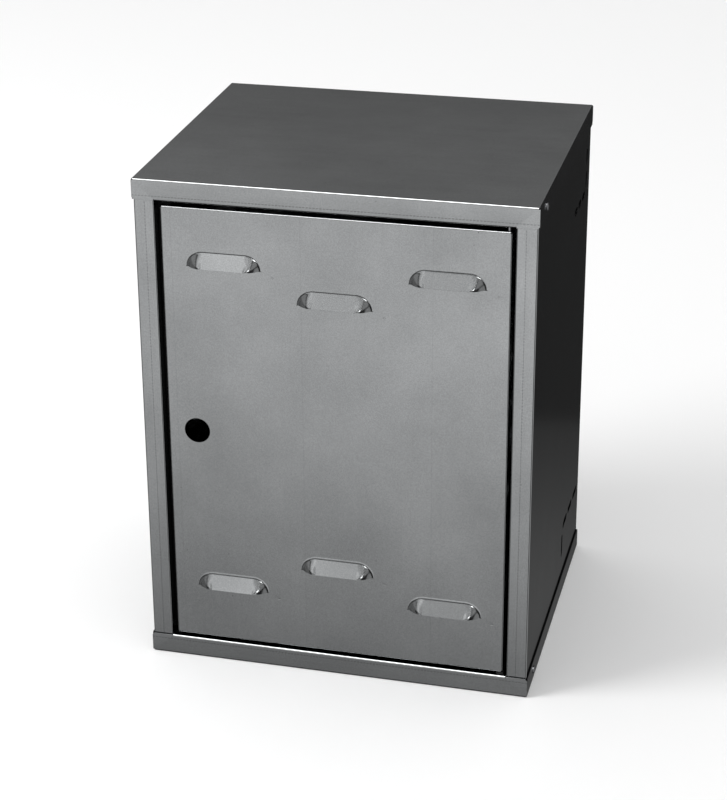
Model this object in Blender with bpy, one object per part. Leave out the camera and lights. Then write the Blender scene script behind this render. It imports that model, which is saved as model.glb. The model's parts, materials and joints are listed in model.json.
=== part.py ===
"""Standpipe cabinet in folded galvanised sheet, standing on its tray, front towards -Y.

A wrap-round body is closed by a riveted cap and tray, and a louvred door turns on two pins at the right.
Units are metres. The origin is the middle of the underside.
"""

import math

import bmesh
import bpy
from mathutils import Matrix, Vector

MM = 0.001

# The cabinet over its cap and tray, rivet heads left out.
WIDTH = 380 * MM
DEPTH = 320 * MM
HEIGHT = 500 * MM

SHEET = 1.0 * MM
FIT_GAP = 0.3 * MM  # between sheets that touch in the real cabinet
OUTER_FOLD = 1.5 * MM  # radius on the outside of a fold
INNER_FOLD = OUTER_FOLD - SHEET
FOLD_STEPS = 3

# Cap and tray.
FLANGE = 20.5 * MM
LIP_DEPTH = 10 * MM
CORNER_CHAMFER = 2.5 * MM
FOLD_RELIEF = 0.6 * MM

# Front frame of the body.
OPENING_HALF = 169 * MM
STOP_DEPTH = 13.1 * MM  # from the face of the stile back to the door stop
STOP_WIDTH = 12 * MM
RIGHT_RETURN = 12 * MM

# Door.
DOOR_LEFT = -163.4 * MM
DOOR_RIGHT = 165.2 * MM
DOOR_LOW = 23.8 * MM
DOOR_HIGH = 474.8 * MM
DOOR_RECESS = 2 * MM  # behind the face of the cap's flange
DOOR_FOLD = 12 * MM
PIN_NOTCH = 8 * MM  # cut out of the side folds at each corner, for the pins
LOCK_HOLE_X = -135 * MM
LOCK_HOLE_RADIUS = 12.7 * MM

# Louvres: a flat ramp with rounded shoulders that rises to a lip over a level cut.
LOUVRE_PITCH = 105.5 * MM
LOUVRE_MIDDLE_X = 2 * MM
LOUVRE_OUTER_CUT = 57 * MM  # from the door's top and bottom edges to the outer louvres' cuts
LOUVRE_STAGGER = 30 * MM
LOUVRE_STRAIGHT = 20 * MM  # half of the lip's straight length
LOUVRE_END = 16.4 * MM
LOUVRE_RAMP = 16 * MM
LOUVRE_RISE = 8 * MM
LOUVRE_KERF = 0.5 * MM
LOUVRE_BEND = 0.2  # share of the ramp that is still bending away from the sheet
LOUVRE_FULLNESS = 2.2  # how square-shouldered the ends are
LOUVRE_INNER_RINGS = (0.6, 0.3)
LOUVRE_ARC_STEPS = 5

# Hinge pins, at the top right and bottom right corners of the door.
HINGE_X = 162 * MM
HINGE_Y = -153.5 * MM
PIN_RADIUS = 1.5 * MM
PIN_LENGTH = 12 * MM
PIN_HEAD_RADIUS = 3 * MM
PIN_HEAD_HEIGHT = 1.4 * MM
CLIP_RADIUS = 2.8 * MM
CLIP_HEIGHT = 1.2 * MM
BUSH_RADIUS = 4 * MM

# Blind rivets that hold the cap and the tray to the body's sides.
RIVET_FROM_FRONT = 36 * MM
RIVET_FROM_EDGE = 10.5 * MM
RIVET_RADIUS = 2 * MM
RIVET_HEAD_RADIUS = 4 * MM
RIVET_HEAD_HEIGHT = 1.3 * MM
RIVET_DOME = ((0.86, 0.4), (0.58, 0.1))  # (share of the head's radius, share of its height below the top)
RIVET_TAIL_RADIUS = 3 * MM
RIVET_TAIL_HEIGHT = 2.4 * MM
MANDREL_RADIUS = 0.9 * MM
MANDREL_BULB_RADIUS = 1.7 * MM
MANDREL_BULB_HEIGHT = 1.5 * MM

# Dashed outlines of the pipe knock-outs in both sides: slots with uncut joints between them.
SLOT_WIDTH = 7 * MM
SLOT_JOINT = 7 * MM
KNOCK_OUT_BEND = 12 * MM  # radius of the outline's corner
UPPER_CORNER = (137 * MM, 416 * MM)  # (y, z) where the two legs of the outline meet
UPPER_LEGS = (-72 * MM, 45 * MM)  # along the side, and up
UPPER_SLOTS = 5
LOWER_CORNER = (51 * MM, 78 * MM)
LOWER_LEGS = (94 * MM, -35 * MM)
LOWER_SLOTS = 4

# Holes in the back, for fixing to a wall.
WALL_HOLE_X = 140 * MM
WALL_HOLE_Z = 60 * MM  # in from the top and from the bottom
WALL_HOLE_RADIUS = 4.5 * MM

ROUND_STEPS = 16
HOLE_STEPS = 24
LOCK_HOLE_STEPS = 32
SLOT_END_STEPS = 6
SLOT_STEPS = 6
SMOOTH_BELOW = math.radians(35)

FRONT_FACE = -DEPTH / 2
BODY_INSET = SHEET + FIT_GAP
DOOR_WIDTH = DOOR_RIGHT - DOOR_LEFT
DOOR_HEIGHT = DOOR_HIGH - DOOR_LOW
DOOR_CENTRE = Vector(
    ((DOOR_LEFT + DOOR_RIGHT) / 2, FRONT_FACE + DOOR_RECESS, (DOOR_LOW + DOOR_HIGH) / 2)
)


def clear_scene():
    for obj in list(bpy.data.objects):
        bpy.data.objects.remove(obj, do_unlink=True)


def make_material(name, colour, metallic, roughness):
    material = bpy.data.materials.new(name)
    material.use_nodes = True
    shader = material.node_tree.nodes["Principled BSDF"]
    shader.inputs["Base Color"].default_value = (*colour, 1)
    shader.inputs["Metallic"].default_value = metallic
    shader.inputs["Roughness"].default_value = roughness
    return material


def add_object(name, bm, material, matrix=None):
    mesh = bpy.data.meshes.new(name)
    bm.to_mesh(mesh)
    bm.free()
    mesh.materials.append(material)
    obj = bpy.data.objects.new(name, mesh)
    obj.matrix_world = matrix or Matrix()
    bpy.context.collection.objects.link(obj)
    return obj


def thicken(obj):
    """Gives a drawn outer face its sheet thickness, inwards."""
    sheet = obj.modifiers.new("sheet", "SOLIDIFY")
    sheet.thickness = SHEET
    sheet.offset = -1
    sheet.use_even_offset = True


def cut(obj, cutter):
    hole = obj.modifiers.new(cutter.name, "BOOLEAN")
    hole.operation = "DIFFERENCE"
    hole.solver = "EXACT"
    hole.object = cutter
    cutter.hide_render = True
    cutter.display_type = "WIRE"


def add_cylinder(bm, radius, length, matrix, steps=HOLE_STEPS):
    bmesh.ops.create_cone(
        bm, cap_ends=True, segments=steps, radius1=radius, radius2=radius, depth=length, matrix=matrix
    )


def folded_path(corners):
    """Points through the corners of a folded strip in plan, with each right-angled fold rounded.

    The outer face is to the left of the path, so a turn to the right goes round the outside of the sheet.
    """
    corners = [Vector(corner) for corner in corners]
    points = [corners[0]]
    for before, corner, after in zip(corners, corners[1:], corners[2:]):
        arriving = (corner - before).normalized()
        leaving = (after - corner).normalized()
        turns_right = arriving.x * leaving.y - arriving.y * leaving.x < 0
        radius = OUTER_FOLD if turns_right else INNER_FOLD
        centre = corner + (leaving - arriving) * radius
        for step in range(FOLD_STEPS + 1):
            angle = math.pi / 2 * step / FOLD_STEPS
            points.append(centre + (arriving * math.sin(angle) - leaving * math.cos(angle)) * radius)
    points.append(corners[-1])
    return points


def turned(profile, steps=ROUND_STEPS):
    """A body turned about Z from (radius, height) points. A profile that leaves the axis open is a ring."""
    bm = bmesh.new()
    verts = [bm.verts.new((radius, 0, height)) for radius, height in profile]
    edges = [bm.edges.new(pair) for pair in zip(verts, verts[1:])]
    if profile[0][0] > 0:
        edges.append(bm.edges.new((verts[-1], verts[0])))
    bmesh.ops.spin(
        bm,
        geom=verts + edges,
        cent=(0, 0, 0),
        axis=(0, 0, 1),
        angle=math.tau,
        steps=steps,
        use_merge=True,
    )
    bmesh.ops.remove_doubles(bm, verts=bm.verts, dist=0.001 * MM)
    bmesh.ops.recalc_face_normals(bm, faces=bm.faces)
    return bm


def smooth_round(obj):
    obj.data.shade_smooth()
    obj.data.set_sharp_from_angle(angle=SMOOTH_BELOW)


# Folded pans: the cap, the tray and the door are each a plate at Z = 0 facing +Z, with flanges that drop
# from its edges.


def flange_strip(bm, side, plate_half, reach, outline):
    """The rounded fold and the flange along one edge of a plate.

    side turns the +X edge to the edge wanted, plate_half is half of that edge's length, and reach the
    distance from the plate's middle to the flange's outer face. outline is the flange's right half as
    (along, drop) points, starting where the fold ends. The return value is its last two points' vertices.
    """
    turn = Matrix.Rotation(side, 3, "Z")
    rows = []
    for step in range(FOLD_STEPS + 1):
        angle = math.pi / 2 * step / FOLD_STEPS
        out = reach - OUTER_FOLD + OUTER_FOLD * math.sin(angle)
        drop = OUTER_FOLD - OUTER_FOLD * math.cos(angle)
        spots = [Vector((out, along, -drop)) for along in (-plate_half, plate_half)]
        rows.append([bm.verts.new(turn @ spot) for spot in spots])
    for upper, lower in zip(rows, rows[1:]):
        bm.faces.new((upper[0], lower[0], lower[1], upper[1]))
    right = [bm.verts.new(turn @ Vector((reach, along, -drop))) for along, drop in outline]
    left = [bm.verts.new(turn @ Vector((reach, -along, -drop))) for along, drop in outline]
    bm.faces.new([rows[-1][1], rows[-1][0], *left, *reversed(right)])
    return left[-1], right[-1]


def lip_strip(bm, side, ends, reach, drop):
    """Folds a flange's lower edge inwards: the fold and then the flat lip."""
    turn = Matrix.Rotation(side, 3, "Z")
    half = abs((turn.inverted() @ ends[1].co).y)
    rows = [list(ends)]
    for step in range(1, FOLD_STEPS + 1):
        angle = math.pi / 2 * step / FOLD_STEPS
        out = reach - OUTER_FOLD + OUTER_FOLD * math.cos(angle)
        down = drop - OUTER_FOLD + OUTER_FOLD * math.sin(angle)
        rows.append([bm.verts.new(turn @ Vector((out, along, -down))) for along in (-half, half)])
    inner_edge = [Vector((reach - LIP_DEPTH, along, -drop)) for along in (-half, half)]
    rows.append([bm.verts.new(turn @ spot) for spot in inner_edge])
    for upper, lower in zip(rows, rows[1:]):
        bm.faces.new((upper[0], lower[0], lower[1], upper[1]))


def plate_loop(bm, half_x, half_y):
    corners = [(-half_x, -half_y), (half_x, -half_y), (half_x, half_y), (-half_x, half_y)]
    return [bm.verts.new((x, y, 0)) for x, y in corners]


def close_loop(bm, verts):
    pairs = zip(verts, verts[1:] + verts[:1])
    return [bm.edges.get(pair) or bm.edges.new(pair) for pair in pairs]


def finish_pan(bm):
    bmesh.ops.remove_doubles(bm, verts=bm.verts, dist=0.001 * MM)
    bmesh.ops.recalc_face_normals(bm, faces=bm.faces)
    plate = max(bm.faces, key=lambda face: (face.calc_center_median().z, face.calc_area()))
    if plate.normal.z < 0:
        bmesh.ops.reverse_faces(bm, faces=bm.faces)


RIGHT, BACK, LEFT, FRONT = (math.pi / 2 * quarter for quarter in range(4))


def lid_sheet():
    """The cap, flanges down: its front flange has a lip across the door opening."""
    half_x, half_y = WIDTH / 2, DEPTH / 2
    bm = bmesh.new()
    bm.faces.new(plate_loop(bm, half_x - OUTER_FOLD, half_y - OUTER_FOLD))
    for side in (RIGHT, LEFT):
        along = half_y - OUTER_FOLD
        flange_strip(bm, side, along, half_x, [(along, FLANGE)])
    wrap = [
        (half_x, OUTER_FOLD),
        (half_x, FLANGE - CORNER_CHAMFER),
        (half_x - CORNER_CHAMFER, FLANGE),
    ]
    flange_strip(bm, BACK, half_x - OUTER_FOLD, half_y, wrap)
    lip_half = OPENING_HALF - 2 * FIT_GAP
    lip_start = FLANGE - OUTER_FOLD
    lip_notch = [
        (lip_half + FOLD_RELIEF, FLANGE),
        (lip_half + FOLD_RELIEF, lip_start),
        (lip_half, lip_start),
    ]
    ends = flange_strip(bm, FRONT, half_x - OUTER_FOLD, half_y, wrap + lip_notch)
    lip_strip(bm, FRONT, ends, half_y, FLANGE)
    finish_pan(bm)
    return bm


def hinge_hole_cutter(name, height):
    bm = bmesh.new()
    at = Matrix.Translation((HINGE_X, HINGE_Y, height))
    add_cylinder(bm, PIN_RADIUS + FIT_GAP, 4 * SHEET, at)
    return add_object(name, bm, bpy.data.materials["galvanised_sheet"])


def rivet_places():
    """(name, matrix) of each rivet, with local +Z out of the cabinet and 0 on the flange's outer face."""
    for side_name, side in (("left", -1), ("right", 1)):
        for level_name, height in (("top", HEIGHT - RIVET_FROM_EDGE), ("bottom", RIVET_FROM_EDGE)):
            place = Matrix.Translation((side * WIDTH / 2, FRONT_FACE + RIVET_FROM_FRONT, height))
            yield f"{level_name}_{side_name}", place @ Matrix.Rotation(side * math.pi / 2, 4, "Y")


def rivet_hole_cutter():
    bm = bmesh.new()
    for _, place in rivet_places():
        add_cylinder(bm, RIVET_RADIUS + FIT_GAP, 8 * SHEET, place)
    return add_object("rivet_hole_cutter", bm, bpy.data.materials["galvanised_sheet"])


def bent_line(corner, legs):
    """A function from the distance along an L-shaped outline with a round corner to (point, direction)."""
    along, up = Vector((math.copysign(1, legs[0]), 0)), Vector((0, math.copysign(1, legs[1])))
    corner = Vector(corner)
    first = abs(legs[0]) - KNOCK_OUT_BEND
    bend = KNOCK_OUT_BEND * math.pi / 2
    centre = corner + (along + up) * KNOCK_OUT_BEND

    def at(distance):
        if distance < first:
            return corner + along * (abs(legs[0]) - distance), -along
        if distance < first + bend:
            angle = (distance - first) / KNOCK_OUT_BEND
            outwards = -up * math.cos(angle) - along * math.sin(angle)
            return centre + outwards * KNOCK_OUT_BEND, up * math.sin(angle) - along * math.cos(angle)
        return corner + up * (distance - first - bend + KNOCK_OUT_BEND), up

    return at, first + bend + abs(legs[1]) - KNOCK_OUT_BEND


def slot_outline(at, start, end):
    """The closed outline of one slot along a bent line, with round ends inside start and end."""
    half = SLOT_WIDTH / 2
    run = end - start - SLOT_WIDTH
    stations = [at(start + half + run * step / SLOT_STEPS) for step in range(SLOT_STEPS + 1)]
    outline = []
    for sign, row in ((1, stations), (-1, stations[::-1])):
        for point, direction in row:
            outline.append(point + direction.orthogonal() * half * sign)
        point, direction = row[-1]
        for step in range(1, SLOT_END_STEPS):
            angle = math.pi * step / SLOT_END_STEPS
            across = direction.orthogonal() * math.cos(angle) + direction * math.sin(angle)
            outline.append(point + across * half * sign)
    return outline


def knock_out_cutter():
    bm = bmesh.new()
    knock_outs = ((UPPER_CORNER, UPPER_LEGS, UPPER_SLOTS), (LOWER_CORNER, LOWER_LEGS, LOWER_SLOTS))
    for corner, legs, slots in knock_outs:
        at, length = bent_line(corner, legs)
        slot = (length + SLOT_JOINT) / slots - SLOT_JOINT
        for index in range(slots):
            start = index * (slot + SLOT_JOINT)
            outline = slot_outline(at, start, start + slot)
            for side in (-1, 1):
                inner_x, outer_x = side * (WIDTH / 2 - 5 * SHEET), side * (WIDTH / 2 + SHEET)
                near = [bm.verts.new((inner_x, y, z)) for y, z in outline]
                far = [bm.verts.new((outer_x, y, z)) for y, z in outline]
                bm.faces.new(near)
                bm.faces.new(far)
                for turn in range(len(outline)):
                    bm.faces.new((near[turn - 1], near[turn], far[turn], far[turn - 1]))
    bmesh.ops.recalc_face_normals(bm, faces=bm.faces)
    return add_object("knock_out_cutter", bm, bpy.data.materials["galvanised_sheet"])


def wall_hole_cutter():
    bm = bmesh.new()
    for x in (-WALL_HOLE_X, WALL_HOLE_X):
        for z in (WALL_HOLE_Z, HEIGHT - WALL_HOLE_Z):
            place = Matrix.Translation((x, DEPTH / 2 - BODY_INSET, z)) @ Matrix.Rotation(math.pi / 2, 4, "X")
            add_cylinder(bm, WALL_HOLE_RADIUS, 6 * SHEET, place)
    return add_object("wall_hole_cutter", bm, bpy.data.materials["galvanised_sheet"])


def build_body_shell(material, rivet_holes):
    """Back, sides and front stiles folded from one sheet, with the door stop on the lock side."""
    side = WIDTH / 2 - BODY_INSET
    back = DEPTH / 2 - BODY_INSET
    stile = FRONT_FACE + BODY_INSET
    path = folded_path(
        [
            (-OPENING_HALF + STOP_WIDTH, stile + STOP_DEPTH),
            (-OPENING_HALF, stile + STOP_DEPTH),
            (-OPENING_HALF, stile),
            (-side, stile),
            (-side, back),
            (side, back),
            (side, stile),
            (OPENING_HALF, stile),
            (OPENING_HALF, stile + RIGHT_RETURN),
        ]
    )
    bm = bmesh.new()
    foot = [bm.verts.new((*point, BODY_INSET)) for point in path]
    edges = [bm.edges.new(pair) for pair in zip(foot, foot[1:])]
    risen = bmesh.ops.extrude_edge_only(bm, edges=edges)["geom"]
    top = [item for item in risen if isinstance(item, bmesh.types.BMVert)]
    bmesh.ops.translate(bm, verts=top, vec=(0, 0, HEIGHT - 2 * BODY_INSET))
    bm.normal_update()
    back_face = max(bm.faces, key=lambda face: face.calc_center_median().y)
    if back_face.normal.y < 0:
        bmesh.ops.reverse_faces(bm, faces=bm.faces)
    shell = add_object("body_shell", bm, material)
    thicken(shell)
    cut(shell, knock_out_cutter())
    cut(shell, wall_hole_cutter())
    cut(shell, rivet_holes)
    return shell


def build_lids(material, rivet_holes):
    cap = add_object("top_cap", lid_sheet(), material, Matrix.Translation((0, 0, HEIGHT)))
    tray = add_object("bottom_tray", lid_sheet(), material, Matrix.Rotation(math.pi, 4, "Y"))
    for lid, lip_height in ((cap, HEIGHT - FLANGE), (tray, FLANGE)):
        thicken(lid)
        cut(lid, rivet_holes)
        cut(lid, hinge_hole_cutter(f"{lid.name}_pin_cutter", lip_height))


def louvre_rise(share, angle):
    """Height of a hood at a share of the way from the lip, 0, to where it leaves the sheet, 1.

    The angle is 90 degrees over the flat ramp, and falls to 0 round the shoulder to the end of the lip.
    """
    up = 1 - share
    if up < LOUVRE_BEND:
        ramp = up * up / (2 * LOUVRE_BEND)
    else:
        ramp = up - LOUVRE_BEND / 2
    ramp /= 1 - LOUVRE_BEND / 2
    shoulder = 1 - (1 - ramp) ** LOUVRE_FULLNESS
    sideways = math.cos(angle) ** 2
    return LOUVRE_RISE * (ramp * (1 - sideways) + shoulder * sideways)


def louvre_ring(bm, x, y, share):
    """Vertices of a hood at one share of its ramp, from its right end over the top to its left end."""
    ring = []
    for end, first in ((LOUVRE_STRAIGHT, 0), (-LOUVRE_STRAIGHT, LOUVRE_ARC_STEPS)):
        for step in range(first, first + LOUVRE_ARC_STEPS + 1):
            angle = math.pi / 2 * step / LOUVRE_ARC_STEPS
            out = end + LOUVRE_END * share * math.cos(angle)
            up = LOUVRE_RAMP * share * math.sin(angle)
            ring.append(bm.verts.new((x + out, y + up, louvre_rise(share, angle))))
    return ring


def add_louvre(bm, x, y):
    """Draws one hood and returns the edges of the hole that it covers."""
    shares = [1 - LOUVRE_BEND * step / FOLD_STEPS for step in range(FOLD_STEPS + 1)]
    shares += LOUVRE_INNER_RINGS
    rings = [louvre_ring(bm, x, y, share) for share in shares]
    for outer, inner in zip(rings, rings[1:]):
        for index in range(len(outer) - 1):
            bm.faces.new((outer[index], outer[index + 1], inner[index + 1], inner[index]))
    right = bm.verts.new((x + LOUVRE_STRAIGHT, y, LOUVRE_RISE))
    left = bm.verts.new((x - LOUVRE_STRAIGHT, y, LOUVRE_RISE))
    last = rings[-1]
    for index in range(LOUVRE_ARC_STEPS):
        bm.faces.new((last[index], last[index + 1], right))
        bm.faces.new((last[-2 - index], last[-1 - index], left))
    middle = LOUVRE_ARC_STEPS
    bm.faces.new((last[middle], last[middle + 1], left, right))
    half = LOUVRE_STRAIGHT + LOUVRE_END
    sill = [bm.verts.new((x + along, y - LOUVRE_KERF, 0)) for along in (-half, half)]
    return close_loop(bm, rings[0] + sill)


def louvre_places():
    """Where each louvre's cut is, from the door's middle. The middle ones are staggered towards it."""
    for column in (-1, 0, 1):
        x = LOUVRE_MIDDLE_X - DOOR_CENTRE.x + column * LOUVRE_PITCH
        inwards = 0 if column else LOUVRE_STAGGER
        yield x, DOOR_HEIGHT / 2 - LOUVRE_OUTER_CUT - inwards
        yield x, LOUVRE_OUTER_CUT + inwards - DOOR_HEIGHT / 2


def build_door(material, hinge):
    half_x, half_y = DOOR_WIDTH / 2, DOOR_HEIGHT / 2
    plate_x, plate_y = half_x - OUTER_FOLD, half_y - OUTER_FOLD
    bm = bmesh.new()
    edges = close_loop(bm, plate_loop(bm, plate_x, plate_y))
    for x, y in louvre_places():
        edges += add_louvre(bm, x, y)
    hole = bmesh.ops.create_circle(
        bm,
        segments=LOCK_HOLE_STEPS,
        radius=LOCK_HOLE_RADIUS,
        matrix=Matrix.Translation((LOCK_HOLE_X - DOOR_CENTRE.x, 0, 0)),
    )
    edges += list({edge for vert in hole["verts"] for edge in vert.link_edges})
    bmesh.ops.triangle_fill(bm, use_beauty=True, edges=edges, normal=(0, 0, 1))
    full = [(half_x, OUTER_FOLD), (half_x, DOOR_FOLD)]
    for side in (BACK, FRONT):
        flange_strip(bm, side, plate_x, half_y, full)
    band = OUTER_FOLD + FOLD_RELIEF
    notched = [(plate_y, band), (plate_y - PIN_NOTCH, band), (plate_y - PIN_NOTCH, DOOR_FOLD)]
    for side in (RIGHT, LEFT):
        flange_strip(bm, side, plate_y, half_x, notched)
    finish_pan(bm)
    stand_up = Matrix.Rotation(math.pi / 2, 4, "X")
    door = add_object("door_panel", bm, material)
    door.parent = hinge
    door.matrix_local = Matrix.Translation(DOOR_CENTRE - hinge.location) @ stand_up
    thicken(door)
    cut(door, hinge_hole_cutter("door_top_pin_cutter", DOOR_HIGH))
    cut(door, hinge_hole_cutter("door_bottom_pin_cutter", DOOR_LOW))


def build_hinge(pin_material, clip_material, bush_material):
    """A headed pin through each lip, a clip to keep it in the door, and the bush that the door stands on."""
    head = turned(
        [
            (0, PIN_HEAD_HEIGHT),
            (PIN_HEAD_RADIUS - FIT_GAP, PIN_HEAD_HEIGHT),
            (PIN_HEAD_RADIUS, PIN_HEAD_HEIGHT - FIT_GAP),
            (PIN_HEAD_RADIUS, 0),
            (PIN_RADIUS, 0),
            (PIN_RADIUS, FIT_GAP - PIN_LENGTH),
            (PIN_RADIUS - FIT_GAP, -PIN_LENGTH),
            (0, -PIN_LENGTH),
        ]
    )
    inside = HEIGHT - FLANGE + SHEET + FIT_GAP
    top = Matrix.Translation((HINGE_X, HINGE_Y, inside))
    smooth_round(add_object("hinge_pin_top", head.copy(), pin_material, top))
    bottom = Matrix.Translation((HINGE_X, HINGE_Y, HEIGHT - inside)) @ Matrix.Rotation(math.pi, 4, "X")
    smooth_round(add_object("hinge_pin_bottom", head, pin_material, bottom))
    bore = PIN_RADIUS + FIT_GAP
    clip_places = (
        ("hinge_clip_top", DOOR_HIGH - SHEET - FIT_GAP - CLIP_HEIGHT),
        ("hinge_clip_bottom", DOOR_LOW + SHEET + FIT_GAP),
    )
    for name, height in clip_places:
        ring = turned([(bore, 0), (CLIP_RADIUS, 0), (CLIP_RADIUS, CLIP_HEIGHT), (bore, CLIP_HEIGHT)])
        place = Matrix.Translation((HINGE_X, HINGE_Y, height))
        smooth_round(add_object(name, ring, clip_material, place))
    bush_height = DOOR_LOW - FLANGE - 2 * FIT_GAP
    ring = turned([(bore, 0), (BUSH_RADIUS, 0), (BUSH_RADIUS, bush_height), (bore, bush_height)])
    place = Matrix.Translation((HINGE_X, HINGE_Y, FLANGE + FIT_GAP))
    smooth_round(add_object("hinge_bush_bottom", ring, bush_material, place))


def build_rivets(body_material, mandrel_material):
    """Blind rivets: a domed head, a shank through both sheets, a swollen tail and a snapped mandrel."""
    bore = MANDREL_RADIUS + FIT_GAP
    tail = -(2 * SHEET + FIT_GAP) - FIT_GAP
    tail_end = tail - RIVET_TAIL_HEIGHT
    top = FIT_GAP + RIVET_HEAD_HEIGHT
    dome = [(across * RIVET_HEAD_RADIUS, top - fall * RIVET_HEAD_HEIGHT) for across, fall in RIVET_DOME]
    rivet = [
        (bore, top),
        (bore, tail_end),
        (RIVET_TAIL_RADIUS - 2 * FIT_GAP, tail_end),
        (RIVET_TAIL_RADIUS, tail_end + 2 * FIT_GAP),
        (RIVET_TAIL_RADIUS, tail - 2 * FIT_GAP),
        (RIVET_RADIUS + FIT_GAP, tail),
        (RIVET_RADIUS, tail),
        (RIVET_RADIUS, FIT_GAP),
        (RIVET_HEAD_RADIUS, FIT_GAP),
        (RIVET_HEAD_RADIUS, 2 * FIT_GAP),
        *dome,
    ]
    bulb = tail_end - FIT_GAP
    mandrel = [
        (0, top - FIT_GAP),
        (MANDREL_RADIUS, top - FIT_GAP),
        (MANDREL_RADIUS, bulb),
        (MANDREL_BULB_RADIUS, bulb),
        (MANDREL_BULB_RADIUS, bulb - MANDREL_BULB_HEIGHT / 2),
        (0, bulb - MANDREL_BULB_HEIGHT),
    ]
    for place_name, place in rivet_places():
        smooth_round(add_object(f"rivet_{place_name}", turned(rivet), body_material, place))
        smooth_round(add_object(f"rivet_mandrel_{place_name}", turned(mandrel), mandrel_material, place))


def main():
    clear_scene()
    sheet = make_material("galvanised_sheet", (0.47, 0.48, 0.49), 1.0, 0.38)
    door_sheet = make_material("galvanised_door_sheet", (0.5, 0.5, 0.51), 1.0, 0.36)
    steel = make_material("zinc_plated_pin", (0.6, 0.6, 0.6), 1.0, 0.3)
    spring_steel = make_material("spring_steel_clip", (0.25, 0.25, 0.26), 1.0, 0.4)
    nylon = make_material("black_nylon", (0.02, 0.02, 0.02), 0.0, 0.5)
    aluminium = make_material("aluminium_rivet", (0.7, 0.7, 0.71), 1.0, 0.35)
    mandrel_steel = make_material("steel_mandrel", (0.3, 0.3, 0.3), 1.0, 0.45)
    hinge = bpy.data.objects.new("door_hinge", None)
    hinge.location = (HINGE_X, HINGE_Y, 0)
    bpy.context.collection.objects.link(hinge)
    rivet_holes = rivet_hole_cutter()
    build_body_shell(sheet, rivet_holes)
    build_lids(sheet, rivet_holes)
    build_door(door_sheet, hinge)
    build_hinge(steel, spring_steel, nylon)
    build_rivets(aluminium, mandrel_steel)


main()
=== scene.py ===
# Standpipe cabinet in folded, zinc-coated steel sheet. Metres, +Z up, the door towards -Y.

import json
import math

import bmesh
import bpy
from mathutils import Matrix, Vector


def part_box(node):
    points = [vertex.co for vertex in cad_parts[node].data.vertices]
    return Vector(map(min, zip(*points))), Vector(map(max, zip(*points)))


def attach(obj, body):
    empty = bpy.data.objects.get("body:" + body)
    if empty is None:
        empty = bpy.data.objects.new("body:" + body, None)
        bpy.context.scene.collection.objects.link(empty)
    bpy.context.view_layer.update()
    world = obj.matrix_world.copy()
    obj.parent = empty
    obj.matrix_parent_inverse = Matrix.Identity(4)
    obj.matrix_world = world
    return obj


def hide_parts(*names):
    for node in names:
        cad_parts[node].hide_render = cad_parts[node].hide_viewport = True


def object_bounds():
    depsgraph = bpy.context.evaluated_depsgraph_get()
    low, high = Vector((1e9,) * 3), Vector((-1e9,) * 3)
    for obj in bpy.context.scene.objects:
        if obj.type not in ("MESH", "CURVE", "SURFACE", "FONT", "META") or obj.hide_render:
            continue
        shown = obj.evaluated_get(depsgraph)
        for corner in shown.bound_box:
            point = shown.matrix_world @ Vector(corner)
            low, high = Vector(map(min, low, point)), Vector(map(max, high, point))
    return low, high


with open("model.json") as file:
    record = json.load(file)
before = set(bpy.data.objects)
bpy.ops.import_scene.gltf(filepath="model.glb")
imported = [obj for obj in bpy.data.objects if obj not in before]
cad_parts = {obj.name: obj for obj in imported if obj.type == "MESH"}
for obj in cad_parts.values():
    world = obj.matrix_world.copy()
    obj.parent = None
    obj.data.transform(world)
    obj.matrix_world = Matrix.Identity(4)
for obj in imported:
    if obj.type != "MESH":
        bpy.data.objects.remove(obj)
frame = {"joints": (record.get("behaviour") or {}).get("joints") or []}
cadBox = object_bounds()

mm = 0.001
xAxis, yAxis, zAxis = Vector((1, 0, 0)), Vector((0, 1, 0)), Vector((0, 0, 1))

sheet = {
    "thickness": 1.0 * mm,
    "gap": 0.3 * mm,  # between sheets that touch in the real cabinet
    "outerFold": 1.5 * mm,
    "innerFold": 0.5 * mm,
    "foldSteps": 6,
    "shearedEdge": 0.12 * mm,  # rounding left by the shear and the punch
    "shearedAngle": 50,  # degrees, the bluntest corner that is rounded so
    "holeSteps": 40,
    "smallHoleSteps": 24,
    "weld": 0.002 * mm,  # points closer than this are one
}


def linearFromHex(text):
    channels = [int(text[place : place + 2], 16) / 255 for place in (1, 3, 5)]
    return (*[c / 12.92 if c <= 0.04045 else ((c + 0.055) / 1.055) ** 2.4 for c in channels], 1)


def addNode(tree, kind, settings={}, links={}):  # a link comes from a node's first output, or from a socket
    node = tree.nodes.new("ShaderNode" + kind)
    for name, value in settings.items():
        if isinstance(name, str) and hasattr(node, name):
            setattr(node, name, value)
        else:
            node.inputs[name].default_value = value
    for name, source in links.items():
        socket = source.outputs[0] if hasattr(source, "outputs") else source
        tree.links.new(socket, node.inputs[name])
    return node


def startMaterial(name, settings):
    material = bpy.data.materials.new(name)
    material.use_nodes = True
    tree = material.node_tree
    shader = tree.nodes["Principled BSDF"]
    for socket, value in settings.items():
        shader.inputs[socket].default_value = value
    return material, tree, shader


def useIn(tree, shader, sources):
    for socket, source in sources.items():
        tree.links.new(source.outputs[0], shader.inputs[socket])


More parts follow.
